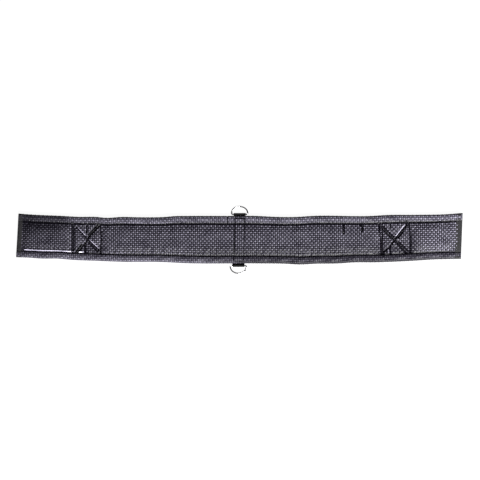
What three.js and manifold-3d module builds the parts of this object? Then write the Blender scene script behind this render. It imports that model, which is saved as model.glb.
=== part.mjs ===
// Padded waist belt of a trainer's belly pad, with two D-rings, lying flat with its padded inner face up.
// X runs along the belt, Y runs across it and Z is up from the surface it lies on. Sizes are in millimetres.
// The belt is soft all along, so it is divided at eight creases where it bends round a waist.
import * as THREE from "three";
import { mergeVertices } from "three/addons/utils/BufferGeometryUtils.js";
import Module from "manifold-3d";

const wasm = await Module();
wasm.setup();

// ---------------------------------------------------------------- driving dimensions

const HALF_LENGTH = 476.7; // centre of the belt to the outside of an end binding
const HALF_WIDTH = 50;
const CREASES = [66, 176, 270, 393]; // distance of each crease from the belt's centre
const SPANS = ["inner_span", "outer_span", "box", "tab"];
const BOW = 8; // how far the two ends lie towards +Y of the centre
const LEFT_END_SHARE = 0.92; // width of the left end, as a share of the full width
const RIGHT_END_SHARE = 0.96;
const LEFT_NARROWING = [230, 300]; // distances from the centre over which the left end narrows
const RIGHT_NARROWING = [300, 440];

const GAP = 0.3; // clearance between touching pieces
const COVER = 0.8; // thickness of the leatherette covers
const BINDING = 0.9; // thickness of the edge bindings
const TAPE = 0.6; // thickness of the end binding tape
const THREAD = 0.6; // height of a row of stitches
const THREAD_WIDTH = 1.2;
const PATCH = 2.5; // thickness of a hook or loop patch
const BAND_FOAM = 1.8; // foam pressed flat under the edge bindings
const SHOULDER_FOAM = 4.1; // foam at the side of the channel
const CROWN = 2.1; // how far the middle of the channel stands above its sides

const BINDING_INNER = 35; // where an edge binding ends, from the belt's middle line
const SEAM_FOOT = 34.4; // where the inner cover meets the seam
const CHANNEL = 31; // half width of the padded channel
const UNDER_CHANNEL = 32;
const COVER_EDGE = 48.5;
const CROWN_STEPS = 4;
const STEP_LENGTH = 36; // the longest piece of belt between two cross-sections

const LEFT_TAPE_WIDTH = 10; // how far an end binding reaches in from the tip
const RIGHT_TAPE_WIDTH = 13.5;
const PATCH_HALF_WIDTH = 31;
const HOOK_PATCH = [396, 461]; // distances from the belt's centre
const LEFT_BOX = [-359, -298]; // sides of the stitched boxes
const RIGHT_BOX = [299.5, 364.5];
const BOX_HALF_HEIGHT = 33.5;
const LABEL = { x: [222, 261], y: [14, 34], thickness: 0.5 };

const STRAP_WIDTH = 26;
const STRAP_THICKNESS = 1;
const STRAP_X = -1.1; // the strap's middle, where it crosses the belt's middle line
const STRAP_SLANT = 0.025; // how far the strap runs along X for each millimetre along Y
const STRAP_RETURN = 24; // where the strap's turned-back ends stop
const STRAP_STITCH = { halfWidth: 10.3, halfHeight: 45 };
const BAR_Y = 54.9; // axis of a D-ring's straight bar
const BAR_Z = 3;
const LOOP_RADIUS = 2.5; // middle of the strap's thickness, round the bar

const WIRE_RADIUS = 1.75;
const WIRE_SIDES = 8;
const RING_HALF_WIDTH = 17.25; // to the middle of the wire
const RING_HEIGHT = 16.9;
const RING_CORNER = 3;
const RING_STEPS = 47; // odd, so that one flat facet lies at the middle of the crown
const RING_BUTT = 0.4; // gap between the wire's two ends, at the middle of the bar
const RING_TILT = Math.asin((BAR_Z - WIRE_RADIUS) / RING_HEIGHT); // its crown rests on the surface

// Heights above the surface, from the lowest layer up.
const belt = { base: PATCH + GAP };
belt.outerCover = belt.base + BINDING + GAP;
belt.foam = belt.outerCover + COVER + GAP;
belt.innerCover = belt.foam + BAND_FOAM + GAP;
belt.bindingTop = belt.innerCover + COVER + GAP;
belt.bandTop = belt.bindingTop + BINDING;
const channel = { outerCover: belt.base };
channel.foam = channel.outerCover + COVER + GAP;
channel.shoulder = channel.foam + SHOULDER_FOAM;
channel.innerCover = channel.shoulder + GAP;
channel.top = channel.innerCover + COVER;

// ---------------------------------------------------------------- materials

function finish(color, roughness, metalness = 0) {
  return new THREE.MeshStandardMaterial({ color, roughness, metalness });
}

const leatherette = finish(0x55525c, 0.45);
const foam = finish(0x2c2c30, 0.95);
const lining = finish(0x232327, 0.8);
const bindingTape = finish(0x2e2d30, 0.7);
const webbing = finish(0x1b1b1c, 0.8);
const hookTape = finish(0x18181a, 0.9);
const loopTape = finish(0x1d1d20, 0.95);
const nickel = finish(0xd8d8da, 0.15, 1);
const thread = finish(0x0e0d12, 0.6);
const labelWeave = finish(0x3a3a3e, 0.7);

// ---------------------------------------------------------------- helpers

const group = new THREE.Group();

function add(name, geometry, material) {
  const mesh = new THREE.Mesh(geometry, material);
  mesh.name = name;
  group.add(mesh);
  return mesh;
}

// The share of the full width that the belt has at x.
function widthShare(x) {
  const left = THREE.MathUtils.smoothstep(-x, ...LEFT_NARROWING);
  const right = THREE.MathUtils.smoothstep(x, ...RIGHT_NARROWING);
  return 1 - (1 - LEFT_END_SHARE) * left - (1 - RIGHT_END_SHARE) * right;
}

// The middle line's distance towards +Y at x: a shallow parabola.
function bow(x) {
  return BOW * (x / HALF_LENGTH) ** 2;
}

// Narrows and bows a geometry that was made on a straight belt of full width.
function onBelt(geometry) {
  const position = geometry.getAttribute("position");
  for (let i = 0; i < position.count; i++) {
    const x = position.getX(i);
    position.setY(i, position.getY(i) * widthShare(x) + bow(x));
  }
  return geometry;
}

// Extrudes an outline of [y, z] points along X.
function alongBelt(outline, from, to) {
  const shape = new THREE.Shape(outline.map(([y, z]) => new THREE.Vector2(y, z)));
  const depth = to - from;
  const steps = Math.ceil(depth / STEP_LENGTH);
  const geometry = new THREE.ExtrudeGeometry(shape, { depth, steps, bevelEnabled: false });
  // The outline's x, y and depth become the belt's Y, Z and X.
  geometry.applyMatrix4(new THREE.Matrix4().set(0, 0, 1, from, 1, 0, 0, 0, 0, 1, 0, 0, 0, 0, 0, 1));
  return geometry;
}

// A box between two corners, cut along X so that it can follow the belt's curve.
function slab([x0, x1], [y0, y1], [z0, z1]) {
  const steps = Math.ceil((x1 - x0) / STEP_LENGTH);
  const geometry = new THREE.BoxGeometry(x1 - x0, y1 - y0, z1 - z0, steps, 1, 1);
  return geometry.translate((x0 + x1) / 2, (y0 + y1) / 2, (z0 + z1) / 2);
}

// Both halves of a line that is given from its +Y end to the middle.
function mirrored(half) {
  const other = half.filter(([y]) => y > 0).map(([y, z]) => [-y, z]);
  return [...half, ...other.reverse()];
}

// The outline between an upper and a lower line.
function layer(upperHalf, lowerHalf) {
  return [...mirrored(upperHalf), ...mirrored(lowerHalf).reverse()];
}

// The crowned top of the channel, from its side to the middle, starting at height z.
function crown(z) {
  const points = [];
  for (let i = 0; i <= CROWN_STEPS; i++) {
    const y = CHANNEL * (1 - i / CROWN_STEPS);
    points.push([y, z + CROWN * (1 - (y / CHANNEL) ** 2)]);
  }
  return points;
}

// The belt's whole cross-section, grown by a margin.
function beltOutline(margin) {
  const side = HALF_WIDTH + margin;
  const top = belt.bandTop + margin;
  const upper = [[side, top], ...crown(channel.top + Math.max(margin, 0))];
  const lower = [[side, belt.base - margin], [0, belt.base - margin]];
  upper.splice(1, 0, [CHANNEL + 1, top]);
  return layer(upper, lower);
}

function solidOf(geometry) {
  const bare = geometry.clone();
  bare.deleteAttribute("normal");
  bare.deleteAttribute("uv");
  const merged = mergeVertices(bare, 1e-3);
  const vertProperties = new Float32Array(merged.getAttribute("position").array);
  const triVerts = new Uint32Array(merged.index.array);
  return new wasm.Manifold(new wasm.Mesh({ numProp: 3, vertProperties, triVerts }));
}

function geometryOf(solid) {
  const { vertProperties, triVerts } = solid.getMesh();
  const geometry = new THREE.BufferGeometry();
  geometry.setAttribute("position", new THREE.BufferAttribute(vertProperties, 3));
  return geometry.setIndex(new THREE.BufferAttribute(triVerts, 1));
}

// ---------------------------------------------------------------- the padded belt

const innerCoverOutline = layer(
  [[COVER_EDGE, belt.innerCover + COVER], [SEAM_FOOT, belt.innerCover + COVER], ...crown(channel.top)],
  [[COVER_EDGE, belt.innerCover], [SEAM_FOOT + GAP, belt.innerCover], ...crown(channel.innerCover)],
);
const foamOutline = layer(
  [[COVER_EDGE, belt.foam + BAND_FOAM], [SEAM_FOOT + GAP, belt.foam + BAND_FOAM], ...crown(channel.shoulder)],
  [[COVER_EDGE, belt.foam], [BINDING_INNER + GAP, belt.foam], [UNDER_CHANNEL, channel.foam], [0, channel.foam]],
);
const outerCoverOutline = layer(
  [
    [COVER_EDGE, belt.outerCover + COVER],
    [BINDING_INNER + GAP, belt.outerCover + COVER],
    [UNDER_CHANNEL, channel.outerCover + COVER],
    [0, channel.outerCover + COVER],
  ],
  [
    [COVER_EDGE, belt.outerCover],
    [BINDING_INNER + GAP, belt.outerCover],
    [BINDING_INNER - BINDING, belt.base],
    [0, belt.base],
  ],
);

// An edge binding: a strip folded round the belt's edge, on the side that sign gives.
function bindingOutline(sign) {
  const { base, bandTop } = belt;
  const fold = 0.8;
  const outside = [
    [BINDING_INNER, base],
    [HALF_WIDTH - fold, base],
    [HALF_WIDTH, base + fold],
    [HALF_WIDTH, bandTop - fold],
    [HALF_WIDTH - fold, bandTop],
    [BINDING_INNER, bandTop],
  ];
  const inside = [
    [BINDING_INNER, bandTop - BINDING],
    [HALF_WIDTH - BINDING, bandTop - BINDING],
    [HALF_WIDTH - BINDING, base + BINDING],
    [BINDING_INNER, base + BINDING],
  ];
  return [...outside, ...inside].map(([y, z]) => [sign * y, z]);
}

// The spans of belt between the creases, each with the place where it starts and stops along X.
function beltSpans() {
  const ends = [...CREASES, HALF_LENGTH - TAPE];
  const spans = [{ name: "centre", from: -CREASES[0] + GAP / 2, to: CREASES[0] - GAP / 2 }];
  SPANS.forEach((span, i) => {
    const near = ends[i] + GAP / 2;
    const far = ends[i + 1] - (span === "tab" ? GAP : GAP / 2);
    spans.push({ name: "right_" + span, from: near, to: far });
    spans.push({ name: "left_" + span, from: -far, to: -near });
  });
  return spans;
}

for (const { name, from, to } of beltSpans()) {
  add(name + "_inner_cover", onBelt(alongBelt(innerCoverOutline, from, to)), leatherette);
  add(name + "_foam_core", onBelt(alongBelt(foamOutline, from, to)), foam);
  add(name + "_outer_cover", onBelt(alongBelt(outerCoverOutline, from, to)), lining);
  add(name + "_top_binding", onBelt(alongBelt(bindingOutline(1), from, to)), leatherette);
  add(name + "_bottom_binding", onBelt(alongBelt(bindingOutline(-1), from, to)), leatherette);
}

// An end binding is a cap of tape over the belt's tip, open towards the belt.
function endBinding(side, width) {
  const tip = side * HALF_LENGTH;
  const mouth = side * (HALF_LENGTH - width);
  const inside = side * (HALF_LENGTH - TAPE);
  const past = mouth - side; // the cavity is cut a little past the mouth
  const outer = alongBelt(beltOutline(GAP + TAPE), Math.min(tip, mouth), Math.max(tip, mouth));
  const cavity = alongBelt(beltOutline(GAP), Math.min(inside, past), Math.max(inside, past));
  return onBelt(geometryOf(solidOf(outer).subtract(solidOf(cavity))));
}

add("right_end_binding", endBinding(1, RIGHT_TAPE_WIDTH), bindingTape);
add("left_end_binding", endBinding(-1, LEFT_TAPE_WIDTH), bindingTape);

// ---------------------------------------------------------------- patches and label on the outer face

const patchY = [-PATCH_HALF_WIDTH, PATCH_HALF_WIDTH];
const patchZ = [0, PATCH];
add("right_hook_patch", onBelt(slab(HOOK_PATCH, patchY, patchZ)), hookTape);
add("left_hook_patch", onBelt(slab([-HOOK_PATCH[1], -HOOK_PATCH[0]], patchY, patchZ)), hookTape);
add("right_loop_patch", onBelt(slab(RIGHT_BOX, patchY, patchZ)), loopTape);
add("left_loop_patch", onBelt(slab(LEFT_BOX, patchY, patchZ)), loopTape);
add("woven_label", onBelt(slab(LABEL.x, LABEL.y, [PATCH - LABEL.thickness, PATCH])), labelWeave);

// ---------------------------------------------------------------- D-ring strap

// An outline of even thickness along a line of [y, z] points.
function ribbon(points, thickness) {
  const line = points.map(([y, z]) => new THREE.Vector2(y, z));
  const sides = [1, -1].map((side) =>
    line.map((point, i) => {
      const before = line[Math.max(i - 1, 0)];
      const after = line[Math.min(i + 1, line.length - 1)];
      const along = after.clone().sub(before).normalize();
      return [point.x - (along.y * side * thickness) / 2, point.y + (along.x * side * thickness) / 2];
    }),
  );
  return [...sides[0], ...sides[1].reverse()];
}

// One half of the strap's side view: the turned-back end, the turn round the bar and the way back in.
function strapHalf() {
  const main = belt.base - GAP - STRAP_THICKNESS / 2;
  const points = [[STRAP_RETURN, STRAP_THICKNESS / 2]];
  const turn = 250; // degrees round the bar, from straight below it
  const steps = 16;
  for (let i = 0; i <= steps; i++) {
    const angle = THREE.MathUtils.degToRad(-90 + (turn * i) / steps);
    points.push([BAR_Y + LOOP_RADIUS * Math.cos(angle), BAR_Z + LOOP_RADIUS * Math.sin(angle)]);
  }
  const [lastY] = points[points.length - 1];
  points.push([lastY - 0.28, main + 1]);
  points.push([lastY - 0.7, main + 0.3]);
  points.push([lastY - 1.7, main]);
  return points;
}

// Slants a geometry made round x = 0 onto the strap's line.
function onStrap(geometry) {
  const position = geometry.getAttribute("position");
  for (let i = 0; i < position.count; i++) {
    position.setX(i, position.getX(i) + STRAP_X + STRAP_SLANT * position.getY(i));
  }
  return geometry;
}

const strapSide = mirrored(strapHalf());
const strapOutline = ribbon(strapSide, STRAP_THICKNESS);
add("d_ring_webbing", onStrap(alongBelt(strapOutline, -STRAP_WIDTH / 2, STRAP_WIDTH / 2)), webbing);

// ---------------------------------------------------------------- D-rings

// The wire's path: half of the bar, a corner, the round crown, the other corner and half of the bar.
class RingCurve extends THREE.Curve {
  constructor() {
    super();
    const path = new THREE.Path();
    const straight = RING_HALF_WIDTH - RING_CORNER;
    path.moveTo(RING_BUTT / 2, 0);
    path.lineTo(straight, 0);
    path.absarc(straight, RING_CORNER, RING_CORNER, -Math.PI / 2, 0);
    // The crown is a half ellipse over the two corners.
    path.absellipse(0, RING_CORNER, RING_HALF_WIDTH, RING_HEIGHT - RING_CORNER, 0, Math.PI);
    path.absarc(-straight, RING_CORNER, RING_CORNER, Math.PI, (3 * Math.PI) / 2);
    path.lineTo(-RING_BUTT / 2, 0);
    this.path = path;
  }

  getPoint(t) {
    const { x, y } = this.path.getPoint(t);
    return new THREE.Vector3(x, y, 0);
  }
}

function wireSection() {
  const corners = [];
  for (let i = 0; i < WIRE_SIDES; i++) {
    const angle = ((i + 0.5) * 2 * Math.PI) / WIRE_SIDES;
    corners.push(new THREE.Vector2(Math.cos(angle), Math.sin(angle)).multiplyScalar(WIRE_RADIUS));
  }
  return new THREE.Shape(corners);
}

function dRing(name, side) {
  const options = { steps: RING_STEPS, bevelEnabled: false, extrudePath: new RingCurve() };
  const ring = add(name, new THREE.ExtrudeGeometry(wireSection(), options), nickel);
  const barY = side * BAR_Y;
  ring.position.set(STRAP_X + STRAP_SLANT * barY, barY, BAR_Z);
  ring.rotation.set(-RING_TILT, 0, side > 0 ? 0 : Math.PI, "ZXY");
}

dRing("top_d_ring", 1);
dRing("bottom_d_ring", -1);

// ---------------------------------------------------------------- stitching on the inner face

// A row of stitches between two points of the plan, as an upright block through the cover's surface.
function stitchRow([x0, y0], [x1, y1]) {
  const length = Math.hypot(x1 - x0, y1 - y0) + THREAD_WIDTH;
  const row = new THREE.BoxGeometry(length, THREAD_WIDTH, 20);
  row.rotateZ(Math.atan2(y1 - y0, x1 - x0));
  return solidOf(row.translate((x0 + x1) / 2, (y0 + y1) / 2, belt.innerCover + 10));
}

// Joins rows of stitches and keeps the thread's height of them, just above the cover.
function stitching(rows, from, to) {
  const upper = solidOf(alongBelt(beltOutline(GAP + THREAD), from, to));
  const surface = upper.subtract(solidOf(alongBelt(beltOutline(GAP), from - 1, to + 1)));
  const joined = rows.map(([a, b]) => stitchRow(a, b)).reduce((all, row) => all.add(row));
  return geometryOf(joined.intersect(surface));
}

function rectangleRows([x0, x1], halfHeight) {
  const corners = [[x0, -halfHeight], [x1, -halfHeight], [x1, halfHeight], [x0, halfHeight]];
  return corners.map((corner, i) => [corner, corners[(i + 1) % corners.length]]);
}

function boxStitching([x0, x1]) {
  const crosses = [
    [[x0, -BOX_HALF_HEIGHT], [x1, BOX_HALF_HEIGHT]],
    [[x0, BOX_HALF_HEIGHT], [x1, -BOX_HALF_HEIGHT]],
  ];
  const rows = [...rectangleRows([x0, x1], BOX_HALF_HEIGHT), ...crosses];
  return onBelt(stitching(rows, x0 - THREAD_WIDTH, x1 + THREAD_WIDTH));
}

add("left_box_stitching", boxStitching(LEFT_BOX), thread);
add("right_box_stitching", boxStitching(RIGHT_BOX), thread);
const strapRows = rectangleRows([-STRAP_STITCH.halfWidth, STRAP_STITCH.halfWidth], STRAP_STITCH.halfHeight);
add("strap_stitching", onStrap(stitching(strapRows, -STRAP_WIDTH / 2, STRAP_WIDTH / 2)), thread);

export default group;
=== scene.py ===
"""Looks of a padded waist belt of a trainer's belly pad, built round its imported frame.

The belt lies flat with its padded inner face up. Everything on it is worked out in belt space: x runs along
the belt, w runs across it from -50 to 50, and z is the height, all in millimetres on a straight belt of full
width. BeltForm.place() carries belt space to the real, bowed outline in metres.
"""

import logging
import math
from dataclasses import dataclass, field
from enum import Enum

import bpy
import numpy as np
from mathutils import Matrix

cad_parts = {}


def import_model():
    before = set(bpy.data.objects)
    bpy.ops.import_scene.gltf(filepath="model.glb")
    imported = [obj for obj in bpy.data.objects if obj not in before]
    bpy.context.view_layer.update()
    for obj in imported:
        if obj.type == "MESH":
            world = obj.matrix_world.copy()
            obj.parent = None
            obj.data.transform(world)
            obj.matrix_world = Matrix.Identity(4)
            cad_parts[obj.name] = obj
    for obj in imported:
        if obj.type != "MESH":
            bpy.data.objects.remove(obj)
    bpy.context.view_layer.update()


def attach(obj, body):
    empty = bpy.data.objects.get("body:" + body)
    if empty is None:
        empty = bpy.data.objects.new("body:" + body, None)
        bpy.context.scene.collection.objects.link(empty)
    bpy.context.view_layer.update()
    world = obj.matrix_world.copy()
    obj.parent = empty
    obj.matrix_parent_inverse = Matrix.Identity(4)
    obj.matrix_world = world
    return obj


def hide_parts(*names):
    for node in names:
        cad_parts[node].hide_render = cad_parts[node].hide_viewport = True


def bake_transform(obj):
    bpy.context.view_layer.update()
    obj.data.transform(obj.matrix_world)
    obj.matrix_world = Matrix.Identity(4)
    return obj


LOG = logging.getLogger("belt")

MM = 0.001
FINE = 0.9  # spacing of the points of an embossed surface, in mm
CELL = 4.5  # one cell of the basket weave, in mm
SEAM_W = 34.8  # the long seams lie this far from the middle line
AWAY = 90.0  # farther than any row's marks reach, in mm
COVER_END = 475.2  # where the covers stop inside the end bindings
TAPE_MOUTH = 463.0  # where an end binding starts


Line = tuple[tuple[float, float], tuple[float, float]]
Colour = tuple[float, float, float]
Socket = bpy.types.NodeSocket


class Face(Enum):
    """The two faces of the belt."""

    INNER = 1
    OUTER = -1


# ---------------------------------------------------------------- numbers


def smooth(values: np.ndarray, low: float, high: float) -> np.ndarray:
    """Rises from 0 at low to 1 at high with level ends.

    Args:
        values: Where to read the step.
        low: Where it starts.
        high: Where it stops.

    Returns:
        The step, 3t^2 - 2t^3 of the clipped share t.
    """
    t = np.clip((np.asarray(values, float) - low) / (high - low), 0, 1)
    return t * t * (3 - 2 * t)


def bell(distance: np.ndarray, width: float) -> np.ndarray:
    """A hump of height 1 at distance 0: the exponential of minus the square of distance over width."""
    return np.exp(-((distance / width) ** 2))


def word_of(side: int) -> str:
    """The name of one side of the belt: right for 1, left for -1."""
    return "right" if side > 0 else "left"


def curve_through(points: list[tuple[float, float]], at: np.ndarray) -> np.ndarray:
    """Reads a smooth curve through a few points, given in rising order.

    Args:
        points: The (position, value) pairs.
        at: Positions to read.

    Returns:
        Values of the cubic whose slope at each point is that of its two neighbours.
    """
    px, py = np.array(points, float).T
    slope = np.gradient(py, px)
    at = np.clip(np.asarray(at, float), px[0], px[-1])
    i = np.clip(np.searchsorted(px, at, side="right") - 1, 0, len(px) - 2)
    h = px[i + 1] - px[i]
    t = (at - px[i]) / h
    return (
        py[i] * (1 + 2 * t) * (1 - t) ** 2
        + h * slope[i] * t * (1 - t) ** 2
        + py[i + 1] * t * t * (3 - 2 * t)
        + h * slope[i + 1] * t * t * (t - 1)
    )


def ripple(x: np.ndarray, length: float, seed: int) -> np.ndarray:
    """A smooth, irregular wave along x, about one high.

    Args:
        x: Positions in mm.
        length: The wave's typical length in mm.
        seed: Which wave.

    Returns:
        The mean of three sines whose lengths and phases follow from the seed.
    """
    rng = np.random.default_rng(seed)
    stretch = rng.uniform(0.7, 1.6, 3)
    phase = rng.uniform(0, 2 * math.pi, 3)
    waves = [np.sin(2 * math.pi * x / (length * s) + p) for s, p in zip(stretch, phase)]
    return np.mean(waves, axis=0) * 1.5


def upsample(table: np.ndarray, at: np.ndarray, axis: int) -> np.ndarray:
    """Reads an evenly spaced table between its rows with the Catmull-Rom cubic.

    Args:
        table: Values on a grid.
        at: Fractional row numbers.
        axis: The axis that the rows run along.

    Returns:
        The table with that axis read at each fractional row.
    """
    table = np.moveaxis(table, axis, 0)
    last = len(table) - 1
    base = np.clip(np.floor(at).astype(int), 0, last - 1)
    t = (at - base).reshape(-1, *[1] * (table.ndim - 1))
    a, b, c, d = (table[np.clip(base + k, 0, last)] for k in (-1, 0, 1, 2))
    out = b + 0.5 * t * (c - a + t * (2 * a - 5 * b + 4 * c - d + t * (3 * (b - c) + d - a)))
    return np.moveaxis(out, 0, axis)


def chain(*points: tuple[float, float]) -> list[Line]:
    """The straight lines that join points in turn."""
    return list(zip(points, points[1:]))


def distance_to_lines(x: np.ndarray, w: np.ndarray, lines: list[Line]) -> np.ndarray:
    """The distance from each point to the nearest of some straight lines.

    Args:
        x: Positions along the belt.
        w: Positions across it.
        lines: Pairs of end points.

    Returns:
        The distance in mm, the shape of x.
    """
    best = np.full(np.shape(x), np.inf)
    for (x0, w0), (x1, w1) in lines:
        dx, dw = x1 - x0, w1 - w0
        t = np.clip(((x - x0) * dx + (w - w0) * dw) / (dx * dx + dw * dw), 0, 1)
        best = np.minimum(best, np.hypot(x - x0 - t * dx, w - w0 - t * dw))
    return best


def running_length(line: np.ndarray) -> np.ndarray:
    """The distance along a line of points in a plane, at each of them."""
    return np.concatenate([[0], np.cumsum(np.hypot(*np.diff(line, axis=0).T))])


def read_along(line: np.ndarray, length: np.ndarray, at: np.ndarray) -> np.ndarray:
    """The points of a line in a plane at some distances along it."""
    return np.stack([np.interp(at, length, line[:, k]) for k in (0, 1)], axis=1)


def fabric_map(x: np.ndarray, w: np.ndarray) -> np.ndarray:
    """The fabric map of a piece from two distances in mm: pairs in metres."""
    return np.stack([x, w], axis=-1) * MM


# ---------------------------------------------------------------- meshes


def make_object(
    name: str,
    points: np.ndarray,
    faces: np.ndarray,
    uv: np.ndarray | None = None,
    tone: np.ndarray | None = None,
) -> bpy.types.Object:
    """Makes a smooth-shaded mesh object at the origin.

    Args:
        name: The object's name.
        points: Corners in metres, one row each.
        faces: Corner numbers, four to a face; a repeated last corner makes a triangle.
        uv: A pair for each corner, kept as the map called Fabric.
        tone: A number for each corner for painted shade and highlight, 0 where a dip is painted black, 1 on a
            crest and above 1 where a highlight is painted, kept as a point attribute.

    Returns:
        The new object.
    """
    mesh = bpy.data.meshes.new(name)
    mesh.vertices.add(len(points))
    mesh.vertices.foreach_set("co", np.asarray(points, np.float32).ravel())
    mesh.loops.add(faces.size)
    mesh.loops.foreach_set("vertex_index", faces.ravel().astype(np.int32))
    mesh.polygons.add(len(faces))
    mesh.polygons.foreach_set("loop_start", np.arange(len(faces), dtype=np.int32) * 4)
    mesh.polygons.foreach_set("use_smooth", np.ones(len(faces), bool))
    mesh.update(calc_edges=True)
    if uv is not None:
        layer = mesh.uv_layers.new(name="Fabric")
        layer.uv.foreach_set("vector", uv[faces.ravel()].astype(np.float32).ravel())
    if tone is not None:
        crest = mesh.attributes.new("ShadeAndHighlight", "FLOAT", "POINT")
        crest.data.foreach_set("value", tone.astype(np.float32).ravel())
    mesh.validate()
    mesh.set_sharp_from_angle(angle=math.radians(62))
    obj = bpy.data.objects.new(name, mesh)
    bpy.context.scene.collection.objects.link(obj)
    return obj


def grid_faces(rows: int, columns: int, close_rows: bool = False, close_columns: bool = False) -> np.ndarray:
    """Quads over a grid of points stored row by row.

    Args:
        rows: Rows of points.
        columns: Points in a row.
        close_rows: Whether the last row joins the first.
        close_columns: Whether each row closes on itself.

    Returns:
        Corner numbers, wound so that rows cross columns points outwards.
    """
    i = np.arange(rows if close_rows else rows - 1)[:, None]
    j = np.arange(columns if close_columns else columns - 1)[None, :]
    i2, j2 = (i + 1) % rows, (j + 1) % columns
    quads = [i * columns + j, i2 * columns + j, i2 * columns + j2, i * columns + j2]
    return np.stack([q.ravel() for q in quads], axis=1)


def shell(
    name: str, outer: np.ndarray, inner: np.ndarray, uv: np.ndarray, tone: np.ndarray | None = None
) -> bpy.types.Object:
    """Closes two matching grids of points into one thin body.

    Args:
        name: The object's name.
        outer: The outward surface, rows by columns by 3, whose rows cross columns point outwards.
        inner: The surface behind it, of the same shape.
        uv: A pair for each point of one grid.
        tone: A number for each point of one grid, as make_object() takes it.

    Returns:
        The new object, with a rim of quads round all four sides.
    """
    rows, columns = outer.shape[:2]
    front = grid_faces(rows, columns)
    count = rows * columns
    number = np.arange(count).reshape(rows, columns)
    loop = np.concatenate([number[0, :-1], number[:-1, -1], number[-1, :0:-1], number[:0:-1, 0]])
    after = np.roll(loop, -1)
    rim = np.stack([loop, after, after + count, loop + count], axis=1)
    faces = np.concatenate([front, front[:, ::-1] + count, rim])
    points = np.concatenate([outer.reshape(-1, 3), inner.reshape(-1, 3)])
    crest = None if tone is None else np.tile(tone.ravel(), 2)
    return make_object(name, points, faces, np.tile(uv.reshape(-1, 2), (2, 1)), crest)


def sweep(
    name: str, path: np.ndarray, across: np.ndarray, up: np.ndarray, section: np.ndarray
) -> bpy.types.Object:
    """Carries a closed section round a closed path.

    Args:
        name: The object's name.
        path: The path's points, in metres.
        across: A direction for the section's first axis at each point.
        up: A direction for its second axis.
        section: The section's pairs, in metres, turning from across towards up.

    Returns:
        The new object.
    """
    points = path[:, None] + section[None, :, :1] * across[:, None] + section[None, :, 1:] * up[:, None]
    rows, columns = points.shape[:2]
    row, column = np.meshgrid(np.arange(rows), np.arange(columns), indexing="ij")
    faces = grid_faces(rows, columns, True, True)
    return make_object(name, points.reshape(-1, 3), faces, fabric_map(row, column).reshape(-1, 2))


def outward(points: np.ndarray) -> np.ndarray:
    """Unit normals of a grid of points, rows crossed with columns.

    Args:
        points: Rows by columns by 3.

    Returns:
        One unit vector for each point.
    """
    normal = np.cross(np.gradient(points, axis=0), np.gradient(points, axis=1))
    return normal / np.maximum(np.linalg.norm(normal, axis=-1, keepdims=True), 1e-12)


# ---------------------------------------------------------------- finishes


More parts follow.
